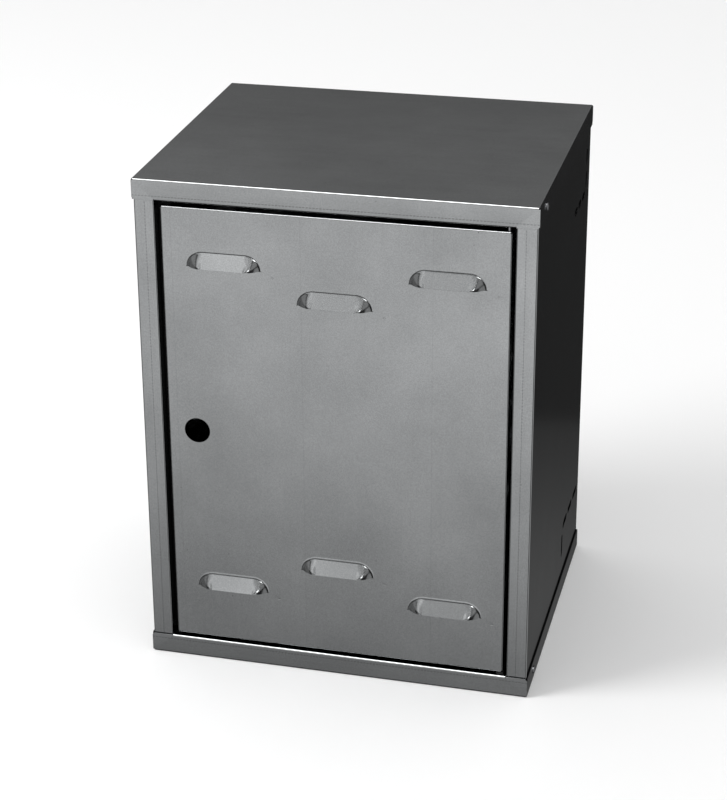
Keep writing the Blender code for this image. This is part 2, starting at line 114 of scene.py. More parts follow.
zincLook = {
    "colour": "#b6b8b9",
    "handled": "#adafb0",
    # painted highlight: the folds are drawn lighter where they bend
    "foldColour": "#cfd1d2",
    "gapColour": "#262626",  # painted shade on the folds inside the opening
    "speckColour": "#3c3c3b",
    "markColour": "#6f7071",
    "roughness": 0.15,
    "roughSpread": (-0.02, 0.03),  # from clean zinc to the middle of a smudge
    "roughLines": 0.04,
    "rolledAlong": "Z",
    "rollLineSpacing": 1.6 * mm,
    "rollLineLength": 260 * mm,
    "rollLineDepth": 0.002 * mm,
    "lineTone": 0.02,  # these three are how far each pattern lightens or darkens the zinc
    "streakWidth": 10 * mm,
    "streakLength": 140 * mm,
    "streakTone": 0.03,
    "patternRange": (0.3, 0.7),  # most of what a noise texture gives
    "patternDetail": (3, 0.6),  # levels of finer pattern, and how strong each is
    "grain": 0.9 * mm,  # real grain is nearer 0.1 mm, too fine to show
    "grainDepth": 0.003 * mm,
    "grainTone": 0.1,
    "waveLength": 110 * mm,
    "waveDepth": 0.12 * mm,
    "smudgeSize": 75 * mm,
    "smudgeDetail": (4, 0.55),
    "handledRange": (0.35, 0.7),
    "smudgeRange": (0.3, 0.75),
    "speckSpacing": 11 * mm,
    "speckSize": 0.05,  # share of the spacing
    "speckCore": 0.55,  # share of the speck that is fully dark
    "speckRange": (0.56, 0.6),  # specks only gather where the smudges are thickest
    "markAcross": "X",  # the straightening rolls print a row of dots every so far
    "markSpacing": 356 * mm,
    "markOffset": 178 * mm,
    "markWidth": 0.6 * mm,
    "markShare": 0.5,
    "dotPitch": 3.2 * mm,
    "dotShare": 0.5,  # 1 joins the dots into a line
    "dotFade": 0.3,
}


# Cold-rolled steel, hot-dip zinc coated and skin-passed. The eye sees an even satin grey with no spangle,
# fine grain, faint lines and streaks along the rolling and a few dark specks; the folds carry a painted
# highlight, the folds inside the opening painted shade.
def zincSheet(name, look):
    material, tree, shader = startMaterial(name, {"Metallic": 1.0})
    spot = addNode(tree, "TexCoord").outputs["Object"]
    rolled = []
    for width, length in (("rollLineSpacing", "rollLineLength"), ("streakWidth", "streakLength")):
        scales = [1 / look[length if axis == look["rolledAlong"] else width] for axis in "XYZ"]
        stretched = addNode(tree, "Mapping", {"Scale": scales}, {"Vector": spot})
        detail, strength = look["patternDetail"]
        settings = {"Scale": 1, "Detail": detail, "Roughness": strength}
        rolled.append(addNode(tree, "TexNoise", settings, {"Vector": stretched}))
    lines, streaks = rolled
    grain = addNode(tree, "TexNoise", {"Scale": 1 / look["grain"], "Detail": 2}, {"Vector": spot})
    waves = addNode(tree, "TexNoise", {"Scale": 1 / look["waveLength"], "Detail": 1}, {"Vector": spot})
    detail, strength = look["smudgeDetail"]
    settings = {"Scale": 1 / look["smudgeSize"], "Detail": detail, "Roughness": strength}
    clouds = addNode(tree, "TexNoise", settings, {"Vector": spot})

    start, end = look["handledRange"]
    handled = addNode(tree, "MapRange", {"From Min": start, "From Max": end}, {"Value": clouds})
    settings = {"Color1": linearFromHex(look["colour"]), "Color2": linearFromHex(look["handled"])}
    plain = addNode(tree, "MixRGB", settings, {"Fac": handled})
    tone = None
    for texture, spread in ((lines, "lineTone"), (streaks, "streakTone"), (grain, "grainTone")):
        start, end = look["patternRange"]
        low, high = 1 - look[spread], 1 + look[spread]
        settings = {"From Min": start, "From Max": end, "To Min": low, "To Max": high}
        links = {0: addNode(tree, "MapRange", settings, {"Value": texture})}
        if tone:
            links[1] = tone
        tone = addNode(tree, "Math", {"operation": "MULTIPLY", 1: 1}, links)
    colour = addNode(tree, "VectorMath", {"operation": "SCALE"}, {0: plain, "Scale": tone})

    cells = addNode(tree, "TexVoronoi", {"Scale": 1 / look["speckSpacing"]}, {"Vector": spot})
    size = look["speckSize"]
    settings = {"From Min": look["speckCore"] * size, "From Max": size, "To Min": 1, "To Max": 0}
    speck = addNode(tree, "MapRange", settings, {"Value": cells})
    start, end = look["speckRange"]
    dirtier = addNode(tree, "MapRange", {"From Min": start, "From Max": end}, {"Value": clouds})
    specks = addNode(tree, "Math", {"operation": "MULTIPLY"}, {0: speck, 1: dirtier})

    place = addNode(tree, "SeparateXYZ", {}, {0: spot}).outputs
    moved = addNode(tree, "Math", {"operation": "ADD", 1: look["markOffset"]}, {0: place[look["markAcross"]]})
    aside = addNode(tree, "Math", {"operation": "PINGPONG", 1: look["markSpacing"] / 2}, {0: moved})
    width = look["markWidth"]
    settings = {"From Min": width / 2, "From Max": width, "To Min": look["markShare"], "To Max": 0}
    row = addNode(tree, "MapRange", settings, {"Value": aside})
    half = look["dotPitch"] / 2
    along = addNode(tree, "Math", {"operation": "PINGPONG", 1: half}, {0: place[look["rolledAlong"]]})
    dotEdge = half * look["dotShare"]
    settings = {"From Min": dotEdge, "From Max": dotEdge + look["dotFade"] * half, "To Min": 1, "To Max": 0}
    dot = addNode(tree, "MapRange", settings, {"Value": along})
    marks = addNode(tree, "Math", {"operation": "MULTIPLY"}, {0: row, 1: dot})

    # positive on the folds for a painted highlight, negative inside the opening for painted shade
    paintedHighlightAndShade = addNode(tree, "Attribute", {"attribute_name": "paintedHighlightAndShade"}).outputs["Fac"]
    gapShade = addNode(tree, "Math", {"operation": "MULTIPLY", 1: -1}, {0: paintedHighlightAndShade})
    for share, over in ((specks, "speck"), (marks, "mark"), (paintedHighlightAndShade, "fold"), (gapShade, "gap")):
        settings = {"Color2": linearFromHex(look[over + "Colour"])}
        colour = addNode(tree, "MixRGB", settings, {"Fac": share, "Color1": colour})

    start, end = look["smudgeRange"]
    low, high = [look["roughness"] + change for change in look["roughSpread"]]
    settings = {"From Min": start, "From Max": end, "To Min": low, "To Max": high}
    smudged = addNode(tree, "MapRange", settings, {"Value": clouds})
    settings = {"operation": "MULTIPLY_ADD", 1: look["roughLines"]}
    rough = addNode(tree, "Math", settings, {0: lines, 2: smudged})

    relief = None
    for texture, depth in ((waves, "waveDepth"), (lines, "rollLineDepth"), (grain, "grainDepth")):
        links = {"Height": texture}
        if relief:
            links["Normal"] = relief
        relief = addNode(tree, "Bump", {"Strength": 1.0, "Distance": look[depth]}, links)
    useIn(tree, shader, {"Base Color": colour, "Roughness": rough, "Normal": relief})
    return material


edgeLook = {"colour": "#121213", "torn": "#2c2c2d", "burr": 0.5 * mm, "roughness": (0.42, 0.62)}


# Punched and sheared edges: bare steel broken through the zinc, dull and darker than the zinc, with painted
# shade taking it close to black so slots read nearly black.
def bareSteelEdgeInShade(name):
    material, tree, shader = startMaterial(name, {"Metallic": 1.0})
    spot = addNode(tree, "TexCoord").outputs["Object"]
    burr = addNode(tree, "TexNoise", {"Scale": 1 / edgeLook["burr"], "Detail": 2}, {"Vector": spot})
    settings = {"Color1": linearFromHex(edgeLook["colour"]), "Color2": linearFromHex(edgeLook["torn"])}
    colour = addNode(tree, "MixRGB", settings, {"Fac": burr})
    low, high = edgeLook["roughness"]
    rough = addNode(tree, "MapRange", {"To Min": low, "To Max": high}, {"Value": burr})
    useIn(tree, shader, {"Base Color": colour, "Roughness": rough})
    return material


def closedEdges(bm, points):
    verts = [bm.verts.new(point) for point in points]
    return [bm.edges.new(pair) for pair in zip(verts, verts[1:] + verts[:1])]


def rectangle(halfX, halfY):
    corners = ((-halfX, -halfY), (halfX, -halfY), (halfX, halfY), (-halfX, halfY))
    return [Vector((x, y, 0)) for x, y in corners]


def addPanel(bm, normal, outline, holes=()):  # a flat stretch of sheet
    edges = closedEdges(bm, outline)
    for hole in holes:
        edges += closedEdges(bm, hole)
    bmesh.ops.triangle_fill(bm, use_beauty=True, edges=edges, normal=normal)


def addFold(bm, line, leaving, turning, radius):  # a right-angled fold that starts at a line of points
    paintedHighlightAndShade = bm.verts.layers.float["paintedHighlightAndShade"]
    rows = []
    for step in range(sheet["foldSteps"] + 1):
        share = step / sheet["foldSteps"]
        angle = math.pi / 2 * share
        offset = (leaving * math.sin(angle) + turning * (1 - math.cos(angle))) * radius
        rows.append([bm.verts.new(point + offset) for point in line])
        for vert in rows[-1]:
            # painted highlight, strongest across the middle of the fold
            vert[paintedHighlightAndShade] = math.sin(math.pi * share)
    for near, far in zip(rows, rows[1:]):
        for index in range(len(line) - 1):
            bm.faces.new((near[index], near[index + 1], far[index + 1], far[index]))
    return [vert.co.copy() for vert in rows[-1]]


def circle(centre, across, up, radius, steps=None):
    steps = steps or sheet["holeSteps"]
    turns = [math.tau * step / steps for step in range(steps)]
    return [centre + (across * math.cos(turn) + up * math.sin(turn)) * radius for turn in turns]


def startSheet():
    bm = bmesh.new()
    bm.verts.layers.float.new("paintedHighlightAndShade")
    return bm


def finishSheet(bm, name, place, seenFrom):  # seenFrom: a direction that the panel furthest that way faces
    bmesh.ops.remove_doubles(bm, verts=bm.verts, dist=sheet["weld"])
    bmesh.ops.recalc_face_normals(bm, faces=bm.faces)
    bmesh.ops.transform(bm, matrix=place, verts=bm.verts)
    bm.normal_update()
    reach = {face: (round(face.calc_center_median() @ seenFrom, 6), face.calc_area()) for face in bm.faces}
    if max(bm.faces, key=reach.get).normal @ seenFrom < 0:
        bmesh.ops.reverse_faces(bm, faces=bm.faces)
    mesh = bpy.data.meshes.new(name)
    bm.to_mesh(mesh)
    bm.free()
    mesh.shade_smooth()
    piece = bpy.data.objects.new(name, mesh)
    bpy.context.scene.collection.objects.link(piece)
    thick = piece.modifiers.new("thickness", "SOLIDIFY")
    thick.thickness = sheet["thickness"]
    thick.offset = -1
    thick.use_even_offset = True
    thick.material_offset_rim = 1  # the cut edges take the piece's second material
    edge = piece.modifiers.new("shearedEdge", "BEVEL")
    edge.width = sheet["shearedEdge"]
    edge.segments = 2
    edge.limit_method = "ANGLE"
    edge.angle_limit = math.radians(sheet["shearedAngle"])
    level = piece.modifiers.new("flatPanels", "WEIGHTED_NORMAL")
    level.weight = 100
    level.keep_sharp = True
    return piece


def standIn(piece, node, body, materials, slot):
    for material in materials:
        piece.data.materials.append(material)
    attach(piece, body)
    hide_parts(node)


# Where things are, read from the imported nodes.
bodyLow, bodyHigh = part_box("body_shell")
capLow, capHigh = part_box("top_cap")
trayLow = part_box("bottom_tray")[0]
doorLow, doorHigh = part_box("door_panel")
hingeSpot = Vector(frame["joints"][0]["pos_m"])

fixings = {
    "flange": 20.5 * mm,
    "rivetFromFront": 36 * mm,
    "rivetFromEdge": 10.5 * mm,
    "rivetHole": 2.3 * mm,
    "pinHole": 1.8 * mm,
}

bodySpec = {
    "openingHalf": 169 * mm,
    "stopDepth": 13.1 * mm,
    "stopWidth": 12 * mm,
    "rightReturn": 12 * mm,
    "wallHoleX": 140 * mm,
    "wallHoleZ": 60 * mm,
    "wallHole": 4.5 * mm,
    "shadeBehind": 3 * mm,  # how far inside the opening the painted shade starts
}

knockOuts = {
    "slotWidth": 7 * mm,
    "joint": 7 * mm,
    "bend": 12 * mm,
    "endSteps": 10,
    "runSteps": 10,
    "outlines": (
        {"corner": (137 * mm, 416 * mm), "legs": (-72 * mm, 45 * mm), "slots": 5},
        {"corner": (51 * mm, 78 * mm), "legs": (94 * mm, -35 * mm), "slots": 4},
    ),
}


def bentLine(corner, legs, bend):  # from a distance along an L with a round corner to (point, direction)
    along, up = Vector((math.copysign(1, legs[0]), 0)), Vector((0, math.copysign(1, legs[1])))
    corner = Vector(corner)
    first = abs(legs[0]) - bend
    arc = bend * math.pi / 2
    centre = corner + (along + up) * bend

    def at(distance):
        if distance < first:
            return corner + along * (abs(legs[0]) - distance), -along
        if distance < first + arc:
            angle = (distance - first) / bend
            point = centre - (up * math.cos(angle) + along * math.sin(angle)) * bend
            return point, up * math.sin(angle) - along * math.cos(angle)
        return corner + up * (distance - first - arc + bend), up

    return at, first + arc + abs(legs[1]) - bend


def slotOutline(at, start, end):
    half, runSteps, endSteps = knockOuts["slotWidth"] / 2, knockOuts["runSteps"], knockOuts["endSteps"]
    run = end - start - 2 * half
    stations = [at(start + half + run * step / runSteps) for step in range(runSteps + 1)]
    outline = []
    for sign, row in ((1, stations), (-1, stations[::-1])):
        outline += [point + direction.orthogonal() * half * sign for point, direction in row]
        point, direction = row[-1]
        for step in range(1, endSteps):
            angle = math.pi * step / endSteps
            across = direction.orthogonal() * math.cos(angle) + direction * math.sin(angle)
            outline.append(point + across * half * sign)
    return outline


def sideHoles(x):
    holes = []
    for outline in knockOuts["outlines"]:
        at, length = bentLine(outline["corner"], outline["legs"], knockOuts["bend"])
        slot = (length + knockOuts["joint"]) / outline["slots"] - knockOuts["joint"]
        for index in range(outline["slots"]):
            start = index * (slot + knockOuts["joint"])
            holes.append([Vector((x, y, z)) for y, z in slotOutline(at, start, start + slot)])
    for z in (trayLow.z + fixings["rivetFromEdge"], capHigh.z - fixings["rivetFromEdge"]):
        centre = Vector((x, capLow.y + fixings["rivetFromFront"], z))
        holes.append(circle(centre, yAxis, zAxis, fixings["rivetHole"], sheet["smallHoleSteps"]))
    return holes


def backHoles():
    holes = []
    for x in (-bodySpec["wallHoleX"], bodySpec["wallHoleX"]):
        for z in (trayLow.z + bodySpec["wallHoleZ"], capHigh.z - bodySpec["wallHoleZ"]):
            holes.append(circle(Vector((x, bodyHigh.y, z)), xAxis, zAxis, bodySpec["wallHole"]))
    return holes


def makeBody():  # back, sides and front stiles from one sheet
    half, front = bodySpec["openingHalf"], bodyLow.y
    corners = [
        (-half + bodySpec["stopWidth"], front + bodySpec["stopDepth"]),
        (-half, front + bodySpec["stopDepth"]),
        (-half, front),
        (bodyLow.x, front),
        (bodyLow.x, bodyHigh.y),
        (bodyHigh.x, bodyHigh.y),
        (bodyHigh.x, front),
        (half, front),
        (half, front + bodySpec["rightReturn"]),
    ]
    corners = [Vector((x, y, bodyLow.z)) for x, y in corners]
    rise = zAxis * (bodyHigh.z - bodyLow.z)
    bm = startSheet()
    start = corners[0]
    for index in range(1, len(corners)):
        arriving = (corners[index] - corners[index - 1]).normalized()
        end, radius = corners[index], 0
        if index < len(corners) - 1:
            leaving = (corners[index + 1] - corners[index]).normalized()
            outside = arriving.cross(leaving).z < 0
            radius = sheet["outerFold"] if outside else sheet["innerFold"]
            end = corners[index] - arriving * radius
        holes = ()
        if abs(arriving.y) > 0.5 and abs(start.x) > half + sheet["outerFold"]:
            holes = sideHoles(start.x)
        if arriving.x > 0.5 and start.y > 0:
            holes = backHoles()
        addPanel(bm, arriving.cross(zAxis), [start, end, end + rise, start + rise], holes)
        if radius:
            start = addFold(bm, [end, end + rise], arriving, leaving, radius)[0]
    # painted shade on the returns and the stop inside the opening
    paintedHighlightAndShade = bm.verts.layers.float["paintedHighlightAndShade"]
    for vert in bm.verts:
        depth = vert.co.y - front
        if abs(vert.co.x) < half + sheet["gap"] and bodySpec["shadeBehind"] < depth <= bodySpec["stopDepth"]:
            vert[paintedHighlightAndShade] = -1
    return finishSheet(bm, "bodyShell", Matrix(), yAxis)


lidSpec = {
    "lipDepth": 10 * mm,
    "chamfer": 2.5 * mm,
    "relief": 0.6 * mm,
    "weldSpacing": 100 * mm,  # spot welds that hold the back flange to the body
    "weldMark": 2.6 * mm,
    "weldDip": 0.15 * mm,
}

dentSteps = 20
dentRings = ((1, 0), (0.8, 0.55), (0.5, 0.95))  # shares of the dent's width and of its depth


def addDent(bm, centre, across, up, width, height, depth):  # returns the outline of the hole that it fills
    inwards = up.cross(across) * depth
    turns = [math.tau * step / dentSteps for step in range(dentSteps)]
    rim = [across * math.cos(turn) * width + up * math.sin(turn) * height for turn in turns]
    rows = [[centre + point * share + inwards * drop for point in rim] for share, drop in dentRings]
    verts = [[bm.verts.new(point) for point in row] for row in rows]
    for outer, inner in zip(verts, verts[1:]):
        for index in range(dentSteps):
            bm.faces.new((outer[index - 1], outer[index], inner[index], inner[index - 1]))
    bm.faces.new(verts[-1])
    return rows[0]


def makeLid(name, place, pinX):  # the cap, flanges down; turned over, it is the tray
    halfX, halfY = (capHigh.x - capLow.x) / 2, (capHigh.y - capLow.y) / 2
    fold, flange, chamfer = sheet["outerFold"], fixings["flange"], lidSpec["chamfer"]
    plateX, plateY = halfX - fold, halfY - fold
    bm = startSheet()
    addPanel(bm, zAxis, rectangle(plateX, plateY))
    for side in (-1, 1):
        out = xAxis * side
        edge = [Vector((side * plateX, y, 0)) for y in (-plateY, plateY)]
        near, far = addFold(bm, edge, out, -zAxis, fold)
        drop = -zAxis * (flange - fold)
        rivet = Vector((side * halfX, fixings["rivetFromFront"] - halfY, -fixings["rivetFromEdge"]))
        hole = circle(rivet, yAxis, zAxis, fixings["rivetHole"], sheet["smallHoleSteps"])
        addPanel(bm, out, [near, far, far + drop, near + drop], [hole])
    lipHalf = bodySpec["openingHalf"] - 2 * sheet["gap"]
    notchX = lipHalf + lidSpec["relief"]
    corner = [(halfX, fold), (halfX, flange - chamfer), (halfX - chamfer, flange)]
    notch = [(notchX, flange), (notchX, flange - fold), (lipHalf, flange - fold)]
    for side, outline in ((1, corner), (-1, corner + notch)):
        out = yAxis * side
        edge = [Vector((x, side * plateY, 0)) for x in (-plateX, plateX)]
        left, right = addFold(bm, edge, out, -zAxis, fold)
        rightHalf = [Vector((x, side * halfY, -drop)) for x, drop in outline]
        leftHalf = [Vector((-x, side * halfY, -drop)) for x, drop in outline[::-1]]
        dents = []
        if side > 0:
            count = int(halfX / lidSpec["weldSpacing"])
            mark = lidSpec["weldMark"]
            for index in range(-count, count + 1):
                centre = Vector((index * lidSpec["weldSpacing"], halfY, -fixings["rivetFromEdge"]))
                dents.append(addDent(bm, centre, -xAxis, zAxis, mark, mark, lidSpec["weldDip"]))
        addPanel(bm, out, [left, right, *rightHalf, *leftHalf], dents)
        if side < 0:
            line = [rightHalf[-1], leftHalf[0]]
            start, end = addFold(bm, line, -zAxis, yAxis, fold)
            inwards = yAxis * (lidSpec["lipDepth"] - fold)
            pin = Vector((pinX, hingeSpot.y, start.z))
            hole = circle(pin, xAxis, yAxis, fixings["pinHole"], sheet["smallHoleSteps"])
            addPanel(bm, -zAxis, [start, end, end + inwards, start + inwards], [hole])
    return finishSheet(bm, name, place, place.to_3x3() @ zAxis)


doorSpec = {
    "fold": 12 * mm,
    "pinNotch": 8 * mm,
    "lockHoleX": -135 * mm,
    "lockHole": 12.7 * mm,
    "lockSteps": 72,
}

louvre = {
    "pitch": 105.5 * mm,
    "middleX": 2 * mm,
    "outerCut": 57 * mm,
    "stagger": 30 * mm,
    "straightHalf": 20 * mm,
    "end": 16.4 * mm,
    "ramp": 16 * mm,
    "rise": 8 * mm,
    "kerf": 0.5 * mm,
    "bend": 0.2,  # share of the ramp that is still bending away from the sheet
    "bendRings": 10,
    "rampRings": 13,
    "fullness": 2.2,  # how square-shouldered the ends are
    "arcSteps": 16,
}

punchMark = {"right": 46.6 * mm, "below": 5.9 * mm, "width": 1.8 * mm, "height": 0.7 * mm, "depth": 0.1 * mm}


def louvreRise(share, angle):  # a flat ramp over the middle that turns into a rounded shoulder at the ends
    up, bend = 1 - share, louvre["bend"]
    ramp = up * up / (2 * bend) if up < bend else up - bend / 2
    ramp /= 1 - bend / 2
    shoulder = 1 - (1 - ramp) ** louvre["fullness"]
    sideways = math.cos(angle) ** 2
    return louvre["rise"] * (ramp * (1 - sideways) + shoulder * sideways)


def addLouvre(bm, x, y):  # draws a hood and returns the outline of the hole that it covers
    steps, half, bend = louvre["arcSteps"], louvre["straightHalf"], louvre["bend"]
    shares = [1 - bend * ring / louvre["bendRings"] for ring in range(louvre["bendRings"])]
    shares += [(1 - bend) * (1 - ring / louvre["rampRings"]) for ring in range(louvre["rampRings"])]
    rings = []
    for share in shares:
        ring = []
        for end, first in ((half, 0), (-half, steps)):
            for step in range(first, first + steps + 1):
                angle = math.pi / 2 * step / steps
                out = end + louvre["end"] * share * math.cos(angle)
                up = louvre["ramp"] * share * math.sin(angle)
                ring.append(Vector((x + out, y + up, louvreRise(share, angle))))
        rings.append(ring)
    rows = [[bm.verts.new(point) for point in ring] for ring in rings]
    for outer, inner in zip(rows, rows[1:]):
        for index in range(len(outer) - 1):
            bm.faces.new((outer[index], outer[index + 1], inner[index + 1], inner[index]))
    last = rows[-1]
    right, left = [bm.verts.new((x + side * half, y, louvre["rise"])) for side in (1, -1)]
    for index in range(steps):
        bm.faces.new((last[index], last[index + 1], right))
        bm.faces.new((last[-2 - index], last[-1 - index], left))
    bm.faces.new((last[steps], last[steps + 1], left, right))
    reach = half + louvre["end"]
    sill = [Vector((x + along, y - louvre["kerf"], 0)) for along in (-reach, reach)]
    return rings[0] + sill


def makeDoor():  # a shallow pan with six louvres and a lock hole
    width, height = doorHigh.x - doorLow.x, doorHigh.z - doorLow.z
    centre = (doorLow + doorHigh) / 2
    centre.y = doorLow.y + louvre["rise"]
    halfX, halfY, fold = width / 2, height / 2, sheet["outerFold"]
    plateX, plateY = halfX - fold, halfY - fold
    bm = startSheet()
    lockSpot = Vector((doorSpec["lockHoleX"] - centre.x, 0, 0))
    holes = [circle(lockSpot, xAxis, yAxis, doorSpec["lockHole"], doorSpec["lockSteps"])]
    for column in (-1, 0, 1):
        x = louvre["middleX"] - centre.x + column * louvre["pitch"]
        inwards = 0 if column else louvre["stagger"]
        for y in (halfY - louvre["outerCut"] - inwards, louvre["outerCut"] + inwards - halfY):
            holes.append(addLouvre(bm, x, y))
            spot = Vector((x + punchMark["right"], y - punchMark["below"], 0))
            size = [punchMark[side] for side in ("width", "height", "depth")]
            holes.append(addDent(bm, spot, xAxis, yAxis, *size))
    addPanel(bm, zAxis, rectangle(plateX, plateY), holes)
    drop = -zAxis * (doorSpec["fold"] - fold)
    band, inset = -zAxis * sheet["gap"] * 2, yAxis * doorSpec["pinNotch"]
    for side in (-1, 1):
        edge = [Vector((x, side * plateY, 0)) for x in (-plateX, plateX)]
        left, right = addFold(bm, edge, yAxis * side, -zAxis, fold)
        tips = [Vector((along * halfX, side * halfY, -fold)) for along in (-1, 1)]
        pin = Vector((hingeSpot.x - centre.x, side * halfY, centre.y - hingeSpot.y))
        hole = circle(pin, xAxis, zAxis, fixings["pinHole"], sheet["smallHoleSteps"])
        outline = [tips[0], left, right, tips[1], tips[1] + drop, tips[0] + drop]
        addPanel(bm, yAxis * side, outline, [hole])
        edge = [Vector((side * plateX, y, 0)) for y in (-plateY, plateY)]
        low, high = addFold(bm, edge, xAxis * side, -zAxis, fold)
        upper = [high + band, high + band - inset, high + drop - inset]
        lower = [low + drop + inset, low + band + inset, low + band]
        addPanel(bm, xAxis * side, [low, high, *upper, *lower])
    place = Matrix.Translation(centre) @ Matrix.Rotation(math.pi / 2, 4, "X")
    return finishSheet(bm, "doorPanel", place, -yAxis)


turning = {"steps": 48, "sharpAngle": 40, "arcSteps": 4}  # degrees


def turned(name, profile, place):  # a body turned about Z from (radius, height) points
    bm = bmesh.new()
    verts = [bm.verts.new((radius, 0, height)) for radius, height in profile]
    edges = [bm.edges.new(pair) for pair in zip(verts, verts[1:])]
    if profile[0][0] > 0:
        edges.append(bm.edges.new((verts[-1], verts[0])))
    whole = {"cent": (0, 0, 0), "axis": zAxis, "angle": math.tau, "use_merge": True}
    bmesh.ops.spin(bm, geom=verts + edges, steps=turning["steps"], **whole)
    bmesh.ops.remove_doubles(bm, verts=bm.verts, dist=sheet["weld"])
    bmesh.ops.recalc_face_normals(bm, faces=bm.faces)
    bmesh.ops.transform(bm, matrix=place, verts=bm.verts)
    mesh = bpy.data.meshes.new(name)
    bm.to_mesh(mesh)
    bm.free()
    mesh.shade_smooth()
    mesh.set_sharp_from_angle(angle=math.radians(turning["sharpAngle"]))
    piece = bpy.data.objects.new(name, mesh)
    bpy.context.scene.collection.objects.link(piece)
    return piece


def rounded(profile, corner, radius):  # replaces one point of a profile by an arc
    before, at, after = [Vector(profile[index]) for index in (corner - 1, corner, corner + 1)]
    first, last = at + (before - at).normalized() * radius, at + (after - at).normalized() * radius
    arc = []
    for step in range(turning["arcSteps"] + 1):
        share = step / turning["arcSteps"]
        arc.append(tuple(first * (1 - share) ** 2 + at * 2 * share * (1 - share) + last * share**2))
    return profile[:corner] + arc + profile[corner + 1 :]


turnedLook = {
    "filmColour": "#5c5d5e",
    "filmSize": 2.5 * mm,
    "filmRange": (0.45, 0.8),
    "filmShare": 0.45,
    "roughSpread": (-0.06, 0.1),
    "toolMarks": 0.4 * mm,
}


# Pins are zinc-plated steel, clips oiled spring steel, rivets bright aluminium round a snapped steel mandrel.
# Each is plain metal with fine tool marks and a grey film where it was handled.
def turnedMetal(name, colour, roughness, markDepth):
    material, tree, shader = startMaterial(name, {"Metallic": 1.0})
    spot = addNode(tree, "TexCoord").outputs["Object"]
    film = addNode(tree, "TexNoise", {"Scale": 1 / turnedLook["filmSize"], "Detail": 3}, {"Vector": spot})
    start, end = turnedLook["filmRange"]
    settings = {"From Min": start, "From Max": end, "To Max": turnedLook["filmShare"]}
    filmed = addNode(tree, "MapRange", settings, {"Value": film})
    settings = {"Color1": linearFromHex(colour), "Color2": linearFromHex(turnedLook["filmColour"])}
    tone = addNode(tree, "MixRGB", settings, {"Fac": filmed})
    low, high = [roughness + change for change in turnedLook["roughSpread"]]
    rough = addNode(tree, "MapRange", {"To Min": low, "To Max": high}, {"Value": film})
    marks = addNode(tree, "TexNoise", {"Scale": 1 / turnedLook["toolMarks"], "Detail": 1}, {"Vector": spot})
    relief = addNode(tree, "Bump", {"Strength": 1.0, "Distance": markDepth}, {"Height": marks})
    useIn(tree, shader, {"Base Color": tone, "Roughness": rough, "Normal": relief})
    return material


nylonLook = {
    "colour": "#1b1b1c",
    "ior": 1.53,
    "pits": 0.3 * mm,
    "pitDepth": 0.01 * mm,
    "roughness": (0.42, 0.6),
}


# Moulded black nylon: dull, with a fine sparkle of mould texture.
def mouldedNylon(name):
    settings = {"Base Color": linearFromHex(nylonLook["colour"]), "IOR": nylonLook["ior"]}
    material, tree, shader = startMaterial(name, settings)
    spot = addNode(tree, "TexCoord").outputs["Object"]
    pits = addNode(tree, "TexNoise", {"Scale": 1 / nylonLook["pits"], "Detail": 2}, {"Vector": spot})
    relief = addNode(tree, "Bump", {"Strength": 1.0, "Distance": nylonLook["pitDepth"]}, {"Height": pits})
    low, high = nylonLook["roughness"]
    rough = addNode(tree, "MapRange", {"To Min": low, "To Max": high}, {"Value": pits})
    useIn(tree, shader, {"Roughness": rough, "Normal": relief})
    return material


pinSpec = {
    "radius": 1.5 * mm,
    "length": 12 * mm,
    "head": 3 * mm,
    "headHeight": 1.4 * mm,
    "tip": 0.5 * mm,
    "ringEdge": 0.2 * mm,  # rounding of the clips and the bush
    "pinFinish": ("#cfd0d2", 0.28, 0.004 * mm),  # colour, roughness, depth of the tool marks
    "clipFinish": ("#5f6062", 0.36, 0.004 * mm),
}


def makeHinge():
    zincPin = turnedMetal("zincPlatedPin", *pinSpec["pinFinish"])
    clipSteel = turnedMetal("oiledSpringSteel", *pinSpec["clipFinish"])
    nylon = mouldedNylon("blackNylon")
    radius, head, length = pinSpec["radius"], pinSpec["head"], pinSpec["length"]
    profile = [
        (0, pinSpec["headHeight"]),
        (head, pinSpec["headHeight"]),
        (head, 0),
        (radius, 0),
        (radius, pinSpec["tip"] - length),
        (radius - pinSpec["tip"], -length),
        (0, -length),
    ]
    profile = rounded(profile, 1, pinSpec["tip"])
    for end, turn in (("top", 0), ("bottom", math.pi)):
        low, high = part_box(f"hinge_pin_{end}")
        seat = high.z - pinSpec["headHeight"] if end == "top" else low.z + pinSpec["headHeight"]
        place = Matrix.Translation((hingeSpot.x, hingeSpot.y, seat)) @ Matrix.Rotation(turn, 4, "X")
        pin = turned(f"hingePin_{end}", profile, place)
        standIn(pin, f"hinge_pin_{end}", "cabinet", [zincPin], "zinc_plated_pin")
    bore, edge = fixings["pinHole"], pinSpec["ringEdge"]
    rings = (
        ("hingeClip_top", "hinge_clip_top", clipSteel, "spring_steel_clip"),
        ("hingeClip_bottom", "hinge_clip_bottom", clipSteel, "spring_steel_clip"),
        ("hingeBush_bottom", "hinge_bush_bottom", nylon, "black_nylon"),
    )
    for name, node, material, slot in rings:
        low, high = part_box(node)
        rim, height = (high.x - low.x) / 2, high.z - low.z
        profile = [(bore, 0), (rim, 0), (rim, height), (bore, height)]
        profile = rounded(rounded(profile, 2, edge), 1, edge)
        ring = turned(name, profile, Matrix.Translation((hingeSpot.x, hingeSpot.y, low.z)))
        standIn(ring, node, "cabinet", [material], slot)


rivetSpec = {
    "radius": 2 * mm,
    "head": 4 * mm,
    "headHeight": 1.3 * mm,
    "crown": 2.04 * mm,  # the flat ring in the middle of the head
    "domeSteps": 8,
    "bore": 1.2 * mm,
    "boreEdge": 0.2 * mm,
    "tail": 3 * mm,
    "tailHeight": 2.4 * mm,
    "mandrel": 0.9 * mm,
    "bulb": 1.7 * mm,
    "bulbHeight": 1.5 * mm,
    "snap": 0.1 * mm,  # roughness of the snapped end
    "finish": ("#a5a6a8", 0.2, 0.006 * mm),  # colour, roughness, depth of the tool marks
    "mandrelFinish": ("#77787a", 0.42, 0.03 * mm),
}


